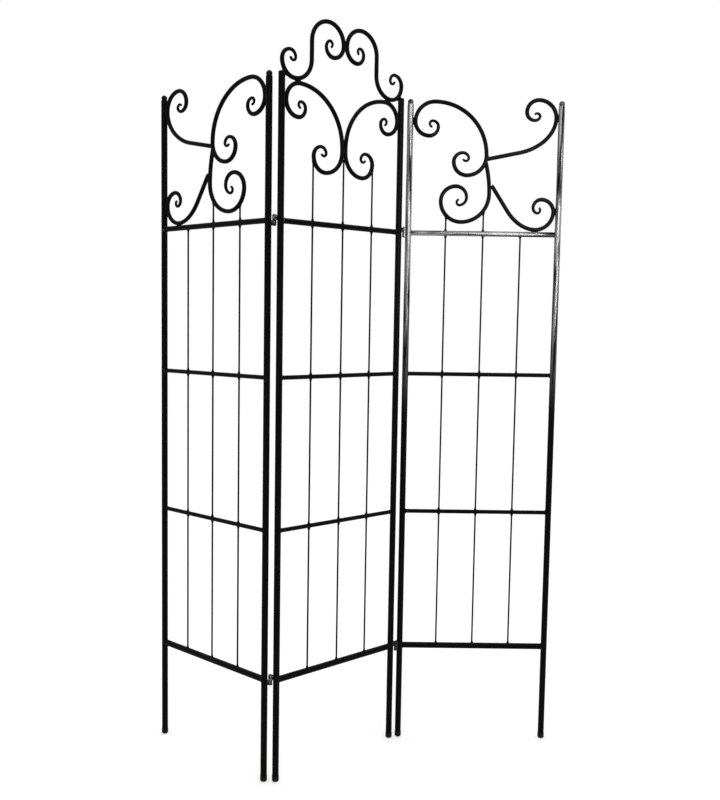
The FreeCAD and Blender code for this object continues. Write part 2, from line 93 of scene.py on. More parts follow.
class Wiring:
    """Adds nodes to one shader tree and links them."""

    mix_first = 6
    mix_second = 7
    mix_result = 2

    def __init__(self, tree: bpy.types.NodeTree) -> None:
        """Take the tree that the nodes go into."""
        self.tree = tree

    def node(self, kind: str, **settings: object) -> bpy.types.Node:
        """Add a node.

        Args:
            kind: Blender's name of the node's type.
            settings: Properties of the node.

        Returns:
            The new node.
        """
        made = self.tree.nodes.new(kind)
        for name, value in settings.items():
            setattr(made, name, value)
        return made

    def feed(self, socket: bpy.types.NodeSocket, value: Feed) -> None:
        """Link a socket to another one, or set it to a plain value.

        Args:
            socket: The socket that is fed.
            value: Another node's socket, or the plain value.
        """
        if isinstance(value, bpy.types.NodeSocket):
            self.tree.links.new(value, socket)
        else:
            socket.default_value = value

    def sum(self, step: Step, first: Feed, second: Feed) -> bpy.types.NodeSocket:
        """Work out one sum.

        Args:
            step: Which sum.
            first: Its first number.
            second: Its second number.

        Returns:
            The socket with the result.
        """
        made = self.node("ShaderNodeMath", operation=step.value)
        self.feed(made.inputs[0], first)
        self.feed(made.inputs[1], second)
        return made.outputs[0]

    def noise(self, place: Feed, scale: Feed, detail: float = 2.0) -> bpy.types.NodeSocket:
        """Soft random pattern.

        Args:
            place: Point on the surface.
            scale: Patches in a metre.
            detail: How many finer layers it has.

        Returns:
            The socket with values from 0 to 1.
        """
        made = self.node("ShaderNodeTexNoise")
        self.feed(made.inputs["Vector"], place)
        self.feed(made.inputs["Scale"], scale)
        made.inputs["Detail"].default_value = detail
        return made.outputs["Fac"]

    def stretch(self, place: Feed, factors: Feed) -> bpy.types.NodeSocket:
        """Scale a point along each axis, so that a pattern on it is drawn out.

        Args:
            place: Point on the surface.
            factors: Patches in a metre along each axis.

        Returns:
            The socket with the scaled point.
        """
        made = self.node("ShaderNodeVectorMath", operation="MULTIPLY")
        self.feed(made.inputs[0], place)
        self.feed(made.inputs[1], factors)
        return made.outputs[0]

    def window(self, value: Feed, low: Feed, high: Feed) -> bpy.types.NodeSocket:
        """Rise from 0 to 1 as a value goes from low to high.

        Args:
            value: What is looked at.
            low: Where the result is 0.
            high: Where the result is 1.

        Returns:
            The socket with the result.
        """
        made = self.node("ShaderNodeMapRange", interpolation_type="SMOOTHSTEP")
        self.feed(made.inputs["Value"], value)
        self.feed(made.inputs["From Min"], low)
        self.feed(made.inputs["From Max"], high)
        return made.outputs["Result"]

    def blend(self, mask: Feed, first: Feed, second: Feed) -> bpy.types.NodeSocket:
        """Go from the first colour to the second one as a mask goes from 0 to 1.

        Args:
            mask: Share of the second colour.
            first: Colour where the mask is 0.
            second: Colour where the mask is 1.

        Returns:
            The socket with the blended colour.
        """
        made = self.node("ShaderNodeMix", data_type="RGBA")
        self.feed(made.inputs[0], mask)
        self.feed(made.inputs[self.mix_first], first)
        self.feed(made.inputs[self.mix_second], second)
        return made.outputs[self.mix_result]


class SurfaceEffect:
    """A shader node group with named sockets, built once and placed in each material."""

    name = ""
    inputs: dict[str, Socket] = {}
    outputs: tuple[str, ...] = ()

    def wire(self, wiring: Wiring, given: bpy.types.Node, result: bpy.types.Node) -> None:
        """Make the nodes between the group's inputs and outputs."""
        raise NotImplementedError

    def tree(self) -> bpy.types.NodeTree:
        """Make the group at the first call, and find it later.

        Returns:
            The group's tree.
        """
        found = bpy.data.node_groups.get(self.name)
        if found is not None:
            return found
        made = bpy.data.node_groups.new(self.name, "ShaderNodeTree")
        for name, kind in self.inputs.items():
            made.interface.new_socket(name=name, in_out="INPUT", socket_type=kind.value)
        for name in self.outputs:
            made.interface.new_socket(name=name, in_out="OUTPUT", socket_type=Socket.VALUE.value)
        wiring = Wiring(made)
        given = wiring.node("NodeGroupInput")
        result = wiring.node("NodeGroupOutput")
        self.wire(wiring, given, result)
        return made

    def place(self, wiring: Wiring, values: dict[str, Feed]) -> bpy.types.Node:
        """Put the group into a material.

        Args:
            wiring: The material's tree.
            values: What each of the group's inputs gets.

        Returns:
            The group's node.
        """
        made = wiring.node("ShaderNodeGroup", node_tree=self.tree())
        for name, value in values.items():
            wiring.feed(made.inputs[name], value)
        return made


class PaintFilm(SurfaceEffect):
    """Orange peel of a sprayed film, and the cloudy change of its gloss."""

    name = "paint film"
    inputs = {"Place": Socket.VECTOR, "Peel Scale": Socket.VALUE, "Cloud Scale": Socket.VALUE}
    outputs = ("Height", "Cloud")
    peel_detail = 1.5
    cloud_detail = 3.0
    cloud_range = (0.3, 0.7)

    def wire(self, wiring: Wiring, given: bpy.types.Node, result: bpy.types.Node) -> None:
        """Peel from one fine noise, clouds from one coarse noise.

        Args:
            wiring: The group's tree.
            given: Node with the group's inputs.
            result: Node with the group's outputs.
        """
        place = given.outputs["Place"]
        peel = wiring.noise(place, given.outputs["Peel Scale"], self.peel_detail)
        cloud = wiring.noise(place, given.outputs["Cloud Scale"], self.cloud_detail)
        wiring.feed(result.inputs["Height"], peel)
        wiring.feed(result.inputs["Cloud"], wiring.window(cloud, *self.cloud_range))


class SettledDust(SurfaceEffect):
    """Dust that lies on faces that look up, thicker in patches."""

    name = "settled dust"
    inputs = {"Place": Socket.VECTOR, "Amount": Socket.VALUE, "Patch Scale": Socket.VALUE}
    outputs = ("Mask",)
    upward_range = (0.25, 1.0)
    patch_detail = 5.0
    patch_range = (0.35, 0.75)

    def wire(self, wiring: Wiring, given: bpy.types.Node, result: bpy.types.Node) -> None:
        """The upward part of the surface, times a patchy noise.

        Args:
            wiring: The group's tree.
            given: Node with the group's inputs.
            result: Node with the group's outputs.
        """
        shape = wiring.node("ShaderNodeNewGeometry")
        parts = wiring.node("ShaderNodeSeparateXYZ")
        wiring.feed(parts.inputs[0], shape.outputs["Normal"])
        upward = wiring.window(parts.outputs["Z"], *self.upward_range)
        patches = wiring.noise(
            given.outputs["Place"], given.outputs["Patch Scale"], self.patch_detail)
        patchy = wiring.sum(Step.MULTIPLY, upward, wiring.window(patches, *self.patch_range))
        wiring.feed(result.inputs["Mask"], wiring.sum(Step.MULTIPLY, patchy, given.outputs["Amount"]))


class PaintChips(SurfaceEffect):
    """Small chips in the paint, gathered in scattered patches."""

    name = "paint chips"
    inputs = {
        "Place": Socket.VECTOR, "Amount": Socket.VALUE, "Reach": Socket.VALUE,
        "Chip Scale": Socket.VALUE}
    outputs = ("Mask",)
    chip_detail = 3.0
    chip_range = (0.66, 0.72)
    patch_scale = 14.0
    patch_detail = 1.0
    patch_range = (0.52, 0.66)

    def wire(self, wiring: Wiring, given: bpy.types.Node, result: bpy.types.Node) -> None:
        """Peaks of a fine noise, where a coarse one is high too. Reach makes both wider.

        Args:
            wiring: The group's tree.
            given: Node with the group's inputs.
            result: Node with the group's outputs.
        """
        place, reach = given.outputs["Place"], given.outputs["Reach"]
        fine = wiring.noise(place, given.outputs["Chip Scale"], self.chip_detail)
        coarse = wiring.noise(place, self.patch_scale, self.patch_detail)
        chips = wiring.window(wiring.sum(Step.ADD, fine, reach), *self.chip_range)
        patches = wiring.window(wiring.sum(Step.ADD, coarse, reach), *self.patch_range)
        worn = wiring.sum(Step.MULTIPLY, chips, patches)
        wiring.feed(result.inputs["Mask"], wiring.sum(Step.MULTIPLY, worn, given.outputs["Amount"]))


class HandlingScuffs(SurfaceEffect):
    """Fine upright rub marks from carrying and stacking the panels."""

    name = "handling scuffs"
    inputs = {"Place": Socket.VECTOR, "Amount": Socket.VALUE}
    outputs = ("Mask",)
    line_spread = (900.0, 900.0, 18.0)
    line_range = (0.58, 0.7)
    patch_scale = 9.0
    patch_range = (0.5, 0.68)

    def wire(self, wiring: Wiring, given: bpy.types.Node, result: bpy.types.Node) -> None:
        """Drawn-out noise, kept only in scattered patches.

        Args:
            wiring: The group's tree.
            given: Node with the group's inputs.
            result: Node with the group's outputs.
        """
        place = given.outputs["Place"]
        lines = wiring.noise(wiring.stretch(place, self.line_spread), 1.0)
        patches = wiring.noise(place, self.patch_scale)
        marks = wiring.sum(
            Step.MULTIPLY, wiring.window(lines, *self.line_range),
            wiring.window(patches, *self.patch_range))
        wiring.feed(result.inputs["Mask"], wiring.sum(Step.MULTIPLY, marks, given.outputs["Amount"]))


class BendMarks(SurfaceEffect):
    """Shallow flats that bending and hammering leave on a bar."""

    name = "bend marks"
    inputs = {"Place": Socket.VECTOR, "Flat Scale": Socket.VALUE}
    outputs = ("Height",)
    softness = 0.6

    def wire(self, wiring: Wiring, given: bpy.types.Node, result: bpy.types.Node) -> None:
        """Smooth cells, each one a shallow dish.

        Args:
            wiring: The group's tree.
            given: Node with the group's inputs.
            result: Node with the group's outputs.
        """
        cells = wiring.node("ShaderNodeTexVoronoi", feature="SMOOTH_F1")
        wiring.feed(cells.inputs["Vector"], given.outputs["Place"])
        wiring.feed(cells.inputs["Scale"], given.outputs["Flat Scale"])
        cells.inputs["Smoothness"].default_value = self.softness
        wiring.feed(result.inputs["Height"], cells.outputs["Distance"])


class PaintedHighlight(SurfaceEffect):
    """Painted highlight: paint made lighter, metallic and streaky high on the right panel, where the
    light falls.
    """

    name = "painted highlight"
    inputs = {
        "Place": Socket.VECTOR, "Amount": Socket.VALUE, "Streaks": Socket.VECTOR,
        "Start": Socket.VALUE, "Full": Socket.VALUE}
    outputs = ("Mask",)
    side_range = (0.106, 0.112)
    streak_detail = 3.0
    streak_range = (0.36, 0.6)

    def wire(self, wiring: Wiring, given: bpy.types.Node, result: bpy.types.Node) -> None:
        """Drawn-out noise, past the right hinge line and more of it from one height to another.

        Args:
            wiring: The group's tree.
            given: Node with the group's inputs.
            result: Node with the group's outputs.
        """
        place = given.outputs["Place"]
        parts = wiring.node("ShaderNodeSeparateXYZ")
        wiring.feed(parts.inputs[0], place)
        side = wiring.window(parts.outputs["X"], *self.side_range)
        high = wiring.window(parts.outputs["Z"], given.outputs["Start"], given.outputs["Full"])
        drawn = wiring.stretch(place, given.outputs["Streaks"])
        streaks = wiring.window(wiring.noise(drawn, 1.0, self.streak_detail), *self.streak_range)
        pale = wiring.sum(Step.MULTIPLY, wiring.sum(Step.MULTIPLY, side, high), streaks)
        wiring.feed(result.inputs["Mask"], wiring.sum(Step.MULTIPLY, pale, given.outputs["Amount"]))


@dataclass(frozen=True)
class Finish:
    """Black paint or plastic with a film, dust, scuffs, chips and a painted highlight.

    Roughness is for the clean film, and its swing is how much the clouds change it. Scales are
    patches in a metre, and depths are in metres. Dust, scuffs, wear and the painted highlight are
    shares from 0 to 1. The painted highlight is a lighter, metallic, streaky colour high on the right
    panel that stands in for the light falling there; streaks draw it out along each axis, and it goes
    from none to full between its heights. The dulling values are how much dust, scuffs and the
    painted highlight add to the roughness.
    """

    name: str
    colour: Colour
    roughness: float
    roughness_swing: float
    specular: float
    peel_scale: float
    peel_depth: float
    dust: float
    scuffs: float
    wear: float
    worn_colour: Colour
    worn_metal: float
    flat_scale: float
    flat_depth: float
    # Share of the painted highlight, its streaks and the heights between which it comes in.
    painted_highlight: float = 0.0
    streaks: tuple[float, float, float] = (170.0, 170.0, 7.0)
    highlight_heights: tuple[float, float] = (0.86, 1.3)
    chip_reach: float = 0.0

    # Light grey of the painted highlight.
    highlight_paint_colour = (0.32, 0.32, 0.32, 1.0)
    dust_colour = (0.11, 0.105, 0.10, 1.0)
    cloud_scale = 26.0
    dust_scale = 70.0
    chip_scale = 520.0
    dust_dulling = 0.4
    scuff_dulling = 0.22
    highlight_dulling = 0.16

    def material(self) -> bpy.types.Material:
        """Make the finish's material at the first call, and find it later.

        Returns:
            The material.
        """
        found = bpy.data.materials.get(self.name)
        if found is not None:
            return found
        made = bpy.data.materials.new(self.name)
        made.use_nodes = True
        made.node_tree.nodes.clear()
        self.shade(Wiring(made.node_tree))
        made.diffuse_color = self.colour
        return made

    def shade(self, wiring: Wiring) -> None:
        """Wire the effects into one Principled BSDF.

        Args:
            wiring: The material's tree.
        """
        place = wiring.node("ShaderNodeTexCoord").outputs["Object"]
        film = PaintFilm().place(wiring, {
            "Place": place, "Peel Scale": self.peel_scale, "Cloud Scale": self.cloud_scale})
        dust = SettledDust().place(wiring, {
            "Place": place, "Amount": self.dust, "Patch Scale": self.dust_scale}).outputs["Mask"]
        worn = PaintChips().place(wiring, {
            "Place": place, "Amount": self.wear, "Reach": self.chip_reach,
            "Chip Scale": self.chip_scale}).outputs["Mask"]
        scuffs = HandlingScuffs().place(wiring, {"Place": place, "Amount": self.scuffs}).outputs["Mask"]
        # Painted highlight: high on the right panel the colour turns light grey, metallic and rougher,
        # standing in for the light that falls there.
        start, full = self.highlight_heights
        painted_highlight = PaintedHighlight().place(wiring, {
            "Place": place, "Amount": self.painted_highlight, "Streaks": self.streaks, "Start": start,
            "Full": full}).outputs["Mask"]
        shader = wiring.node("ShaderNodeBsdfPrincipled")
        output = wiring.node("ShaderNodeOutputMaterial")
        # The painted highlight is blended into the base colour before wear and dust.
        pale = wiring.blend(painted_highlight, self.colour, self.highlight_paint_colour)
        bare = wiring.blend(worn, pale, self.worn_colour)
        wiring.feed(shader.inputs["Base Color"], wiring.blend(dust, bare, self.dust_colour))
        cloudy = wiring.sum(Step.MULTIPLY, film.outputs["Cloud"], self.roughness_swing)
        dull = wiring.sum(Step.ADD, wiring.sum(Step.MULTIPLY, dust, self.dust_dulling), cloudy)
        dull = wiring.sum(Step.ADD, dull, wiring.sum(Step.MULTIPLY, scuffs, self.scuff_dulling))
        dull = wiring.sum(Step.ADD, dull, wiring.sum(Step.MULTIPLY, painted_highlight, self.highlight_dulling))
        wiring.feed(shader.inputs["Roughness"], wiring.sum(Step.ADD, dull, self.roughness))
        metal = wiring.sum(Step.MULTIPLY, worn, self.worn_metal)
        # Metallic rises with the painted highlight as well as with bare steel.
        wiring.feed(shader.inputs["Metallic"], wiring.sum(Step.MAXIMUM, metal, painted_highlight))
        wiring.feed(shader.inputs["Normal"], self.relief(wiring, place, film.outputs["Height"]))
        shader.inputs["Specular IOR Level"].default_value = self.specular
        wiring.feed(output.inputs["Surface"], shader.outputs[0])

    def relief(self, wiring: Wiring, place: Feed, peel: Feed) -> bpy.types.NodeSocket:
        """Bump of the film over the bend marks of the bar.

        Args:
            wiring: The material's tree.
            place: Point on the surface.
            peel: Height of the film's orange peel.

        Returns:
            The socket with the bumped normal.
        """
        marks = BendMarks().place(wiring, {"Place": place, "Flat Scale": self.flat_scale})
        under = wiring.node("ShaderNodeBump")
        under.inputs["Distance"].default_value = self.flat_depth
        wiring.feed(under.inputs["Height"], marks.outputs["Height"])
        bump = wiring.node("ShaderNodeBump")
        bump.inputs["Distance"].default_value = self.peel_depth
        wiring.feed(bump.inputs["Height"], peel)
        wiring.feed(bump.inputs["Normal"], under.outputs[0])
        return bump.outputs[0]


BLACK = (0.0025, 0.0025, 0.0026, 1.0)
BARE_STEEL = (0.28, 0.275, 0.27, 1.0)

# Posts carry the full painted highlight high on the right panel.
POST_PAINT = Finish(
    name="gloss black on post tube", colour=BLACK, roughness=0.26, roughness_swing=0.12,
    specular=0.03, peel_scale=260.0, peel_depth=0.006 * MM, dust=0.1, scuffs=0.8, wear=0.3,
    worn_colour=BARE_STEEL, worn_metal=1.0, flat_scale=18.0, flat_depth=0.4 * MM, painted_highlight=1.0)
# Rails carry the painted highlight only at the height of the right panel's top rail.
RAIL_PAINT = Finish(
    name="gloss black on rail tube", colour=BLACK, roughness=0.28, roughness_swing=0.12,
    specular=0.03, peel_scale=280.0, peel_depth=0.006 * MM, dust=0.08, scuffs=0.4, wear=0.3,
    worn_colour=BARE_STEEL, worn_metal=1.0, flat_scale=22.0, flat_depth=0.3 * MM, painted_highlight=0.8,
    streaks=(9.0, 190.0, 190.0), highlight_heights=(1.2, 1.3))
WIRE_PAINT = Finish(
    name="black on wire", colour=BLACK, roughness=0.4, roughness_swing=0.12, specular=0.03,
    peel_scale=500.0, peel_depth=0.006 * MM, dust=0.1, scuffs=0.9, wear=0.3,
    worn_colour=BARE_STEEL, worn_metal=1.0, flat_scale=40.0, flat_depth=0.1 * MM)
SCROLL_PAINT = Finish(
    name="gloss black on bent bar", colour=BLACK, roughness=0.13, roughness_swing=0.08,
    specular=0.03, peel_scale=300.0, peel_depth=0.006 * MM, dust=0.04, scuffs=0.2, wear=0.3,
    worn_colour=BARE_STEEL, worn_metal=1.0, flat_scale=45.0, flat_depth=0.3 * MM)
# Ball caps carry a faint painted highlight on the right panel.
CAP_PAINT = Finish(
    name="gloss black on ball cap", colour=BLACK, roughness=0.16, roughness_swing=0.08,
    specular=0.08, peel_scale=400.0, peel_depth=0.01 * MM, dust=0.15, scuffs=0.2, wear=0.4,
    worn_colour=BARE_STEEL, worn_metal=1.0, flat_scale=60.0, flat_depth=0.1 * MM, painted_highlight=0.2,
    streaks=(60.0, 60.0, 60.0))
FOOT_PLASTIC = Finish(
    name="black moulded foot", colour=(0.006, 0.006, 0.006, 1.0), roughness=0.5,
    roughness_swing=0.12, specular=0.08, peel_scale=1300.0, peel_depth=0.03 * MM, dust=0.2,
    scuffs=0.8, wear=0.5, worn_colour=(0.05, 0.05, 0.05, 1.0), worn_metal=0.0,
    flat_scale=80.0, flat_depth=0.05 * MM)
# Hinges carry the full painted highlight where they stand high on the right hinge line.
HINGE_PAINT = Finish(
    name="worn black on hinge barrel", colour=BLACK, roughness=0.24, roughness_swing=0.12,
    specular=0.08, peel_scale=420.0, peel_depth=0.02 * MM, dust=0.2, scuffs=0.5, wear=1.0,
    worn_colour=BARE_STEEL, worn_metal=1.0, flat_scale=90.0, flat_depth=0.1 * MM, painted_highlight=1.0,
    chip_reach=0.12)
PIN_PAINT = Finish(
    name="worn black on hinge pin", colour=(0.004, 0.004, 0.004, 1.0), roughness=0.22,
    roughness_swing=0.1, specular=0.08, peel_scale=500.0, peel_depth=0.02 * MM, dust=0.2,
    scuffs=0.5, wear=1.0, worn_colour=BARE_STEEL, worn_metal=1.0,
    flat_scale=120.0, flat_depth=0.05 * MM, chip_reach=0.12)
WELD_PAINT = Finish(
    name="gloss black on weld bead", colour=BLACK, roughness=0.2, roughness_swing=0.1,
    specular=0.03, peel_scale=600.0, peel_depth=0.03 * MM, dust=0.15, scuffs=0.1, wear=0.5,
    worn_colour=BARE_STEEL, worn_metal=1.0, flat_scale=220.0, flat_depth=0.15 * MM)
# Rail welds carry the full painted highlight high on the right panel.
RAIL_WELD_PAINT = replace(
    WELD_PAINT, name="gloss black on rail weld", painted_highlight=1.0, streaks=(60.0, 60.0, 60.0), wear=0.9,
    chip_reach=0.06)

FINISHES: dict[Slot, Finish] = {
    Slot.POST: POST_PAINT,
    Slot.RAIL: RAIL_PAINT,
    Slot.WIRE: WIRE_PAINT,
    Slot.SCROLL: SCROLL_PAINT,
    Slot.CAP: CAP_PAINT,
    Slot.FOOT: FOOT_PLASTIC,
    Slot.HINGE: HINGE_PAINT,
    Slot.PIN: PIN_PAINT,
}


class SteelNode:
    """One node of the frame, read as a surface that a weld sits on."""

    margin = Vector((0.03, 0.03, 0.03))

    def __init__(self, name: str) -> None:
        """Read the node's mesh.

        Args:
            name: Name of the node.
        """
        mesh = frame["nodes"][name].data
        self.low, self.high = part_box(name)
        self.middle = (self.low + self.high) / 2
        self.points = np.array([vertex.co for vertex in mesh.vertices])
        self.surface = BVHTree.FromPolygons(
            [vertex.co for vertex in mesh.vertices], [face.vertices for face in mesh.polygons])

    def touch(self, other: "SteelNode", slack: float = 0.08 * MM) -> Vector:
        """Place where this node comes nearest to another one.

        Args:
            other: The node that this one is welded to.
            slack: Points this much further away than the nearest one count too.

        Returns:
            The middle of the nearest points.
        """
        near = other.low - self.margin
        far = other.high + self.margin
        inside = np.all((self.points > near) & (self.points < far), axis=1)
        found = []
        for point in self.points[inside]:
            foot, _, _, gap = other.surface.find_nearest(Vector(point))
            found.append((gap, (Vector(point) + foot) / 2))
        least = min(gap for gap, _ in found)
        close = [place for gap, place in found if gap < least + slack]
        return sum(close, Vector()) / len(close)

    def grain(self, place: Vector, face: Vector, reach: float = 14 * MM) -> Vector:
        """Direction in which a bent bar runs at a place on it, in the panel's plane.

        Args:
            place: Point on the bar.
            face: Direction square to the panel.
            reach: Points of the bar within this distance are looked at.

        Returns:
            The unit direction.
        """
        offsets = self.points - np.array(place)
        flat = offsets - np.outer(offsets @ np.array(face), face)
        close = flat[np.linalg.norm(flat, axis=1) < reach]
        _, directions = np.linalg.eigh(np.cov(close.T))
        return Vector(directions[:, -1]).normalized()

    def landing(self, start: Vector, way: Vector, reach: float = 40 * MM) -> Vector:
        """Point where a line meets the surface, or the nearest point if it passes by.

        Args:
            start: Where the line starts.
            way: Its unit direction.
            reach: How far it goes.

        Returns:
            The point on the surface.
        """
        hit, _, _, _ = self.surface.ray_cast(start, way, reach)
        if hit is not None:
            return hit
        return self.surface.find_nearest(start)[0]


class BeadSet:
    """Weld beads of one kind on one body, collected into one mesh.

    Each pair of a collar's profile is a height above its foot and a spread from the wire, both in
    bead sizes.
    """

    sides = 10
    ring_least_steps = 14
    ring_steps_per_mm = 5
    ring_run_up = 3
    ring_waves = (5, 7)
    ring_swell = 0.14
    collar_steps = 14
    collar_lean = (0.1, 0.3)
    collar_lobe = 0.12
    seam_steps = 22
    seam_scallops = (4, 6)
    seam_scallop_depth = 0.1
    seam_tip = 0.04
    collar_profile = ((-0.9, 1.0), (0.1, 1.05), (0.9, 0.85), (1.8, 0.5), (2.9, 0.2), (4.2, -0.12))

    def __init__(self, name: str, body: str, slot: Slot, finish: Finish = WELD_PAINT) -> None:
        """Start with no beads.

        Args:
            name: Name of the piece.
            body: Body that it rides on.
            slot: Slot of the record that its finish belongs to; not used.
            finish: What the beads are painted with.
        """
        self.name = name
        self.body = body
        self.slot = slot
        self.finish = finish
        self.points: list[Vector] = []
        self.faces: list[tuple[int, ...]] = []
        self.chance = random.Random(f"{BEAD_SEED} {name}")

    def ring(self, end: Vector, way: Vector, radius: float, bead: float, base: SteelNode) -> None:
        """Bead round the end of a bar, where it meets another piece.

        Args:
            end: Point on the bar's middle line near the joint.
            way: Direction from the bar towards the other piece.
            radius: Radius of the bar.
            bead: Radius of the bead.
            base: The other piece.
        """
        across = way.orthogonal().normalized()
        beside = way.cross(across).normalized()
        steps = max(self.ring_least_steps, int(radius / MM * self.ring_steps_per_mm))
        spokes = []
        for step in range(steps):
            angle = math.tau * step / steps
            spokes.append(across * math.cos(angle) + beside * math.sin(angle))
        start = end - way * (self.ring_run_up * radius)
        path = [base.landing(start + spoke * radius, way) for spoke in spokes]
        waves = self.chance.randint(*self.ring_waves)
        turn = self.chance.uniform(0.0, math.tau)
        first = len(self.points)
        for step, (place, spoke) in enumerate(zip(path, spokes)):
            ahead = (path[(step + 1) % steps] - path[step - 1]).normalized()
            out = (spoke - ahead * spoke.dot(ahead)).normalized()
            aside = ahead.cross(out)
            swell = 1.0 + self.ring_swell * math.sin(waves * math.tau * step / steps + turn)
            self.rib(place, out, aside, bead * swell, bead * swell)
        self.skin(first, steps, closed=True, sides=self.sides)

    def collar(self, end: Vector, way: Vector, radius: float, bead: float, base: SteelNode) -> None:
        """Lump of weld round a thin wire, spread out on the piece that it meets.

        Args:
            end: Point on the wire's middle line, clear of the other piece.
            way: Direction from the wire towards the other piece.
            radius: Radius of the wire.
            bead: How far the lump stands out from the wire at its foot.
            base: The other piece.
        """
        across = way.orthogonal().normalized()
        beside = way.cross(across).normalized()
        steps = self.collar_steps
        turn = self.chance.uniform(0.0, math.tau)
        lean = self.chance.uniform(*self.collar_lean)
        first = len(self.points)
        for rise, spread in self.collar_profile:
            for step in range(steps):
                angle = math.tau * step / steps
                spoke = across * math.cos(angle) + beside * math.sin(angle)
                lobes = self.collar_lobe * math.cos(3 * angle + 2 * turn)
                lump = 1.0 + lean * math.cos(angle + turn) + lobes
                foot = base.landing(end + spoke * radius, way)
                size = bead * lump
                self.points.append(foot - way * (size * rise) + spoke * (size * spread))
        self.skin(first, len(self.collar_profile), closed=False, sides=steps)

    def seam(self, place: Vector, way: Vector, face: Vector, half: float, depth: float,
             width: float) -> None:
        """Bead along the line where two bars touch.

        Args:
            place: Middle of the bead.
            way: Direction along the bead.
            face: Direction square to the panel.
            half: Half of the bead's length.
            depth: Half of the bead's size square to the panel.
            width: Half of the bead's size from one bar to the other.
        """
        across = way.cross(face).normalized()
        steps = self.seam_steps
        scallops = self.chance.randint(*self.seam_scallops)
        first = len(self.points)
        for step in range(steps + 1):
            share = -1.0 + 2.0 * step / steps
            envelope = max(self.seam_tip, math.sqrt(max(0.0, 1.0 - share * share)))
            wave = abs(math.cos(math.pi * scallops * share / 2))
            size = envelope * (1.0 - self.seam_scallop_depth * (1.0 - wave))
            self.rib(place + way * (half * share), face, across, depth * size, width * size)
        self.skin(first, steps + 1, closed=False, sides=self.sides)

    def rib(self, place: Vector, out: Vector, aside: Vector, depth: float, width: float) -> None:
        """One ring of points round the bead's middle line.

        Args:
            place: Point on the middle line.
            out: First direction square to the line.
            aside: Second direction square to the line.
            depth: Half of the bead's size along out.
            width: Half of the bead's size along aside.
        """
        for side in range(self.sides):
            angle = math.tau * side / self.sides
            offset = out * (depth * math.cos(angle)) + aside * (width * math.sin(angle))
            self.points.append(place + offset)

    def skin(self, first: int, ribs: int, closed: bool, sides: int) -> None:
        """Faces between the ribs.

        Args:
            first: Number of the first rib's first point.
            ribs: How many ribs there are.
            closed: Whether the last rib joins the first one. Otherwise both ends get a lid.
            sides: How many points each rib has.
        """
        for rib in range(ribs if closed else ribs - 1):
            here = first + rib * sides
            there = first + (rib + 1) % ribs * sides
            for side in range(sides):
                turn = (side + 1) % sides
                self.faces.append((here + side, here + turn, there + turn, there + side))
        if not closed:
            last = first + (ribs - 1) * sides
            self.faces.append(tuple(first + side for side in reversed(range(sides))))
            self.faces.append(tuple(last + side for side in range(sides)))

    def build(self) -> None:
        """Make the beads one smooth piece that rides on its body."""
        mesh = bpy.data.meshes.new(self.name)
        mesh.from_pydata(self.points, [], self.faces)
        mesh.validate()
        mesh.shade_smooth()
        mesh.materials.append(self.finish.material())
        piece = bpy.data.objects.new(self.name, mesh)
        bpy.context.scene.collection.objects.link(piece)
        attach(piece, self.body)
        LOG.info("%s: %d faces on %s", self.name, len(self.faces), self.body)


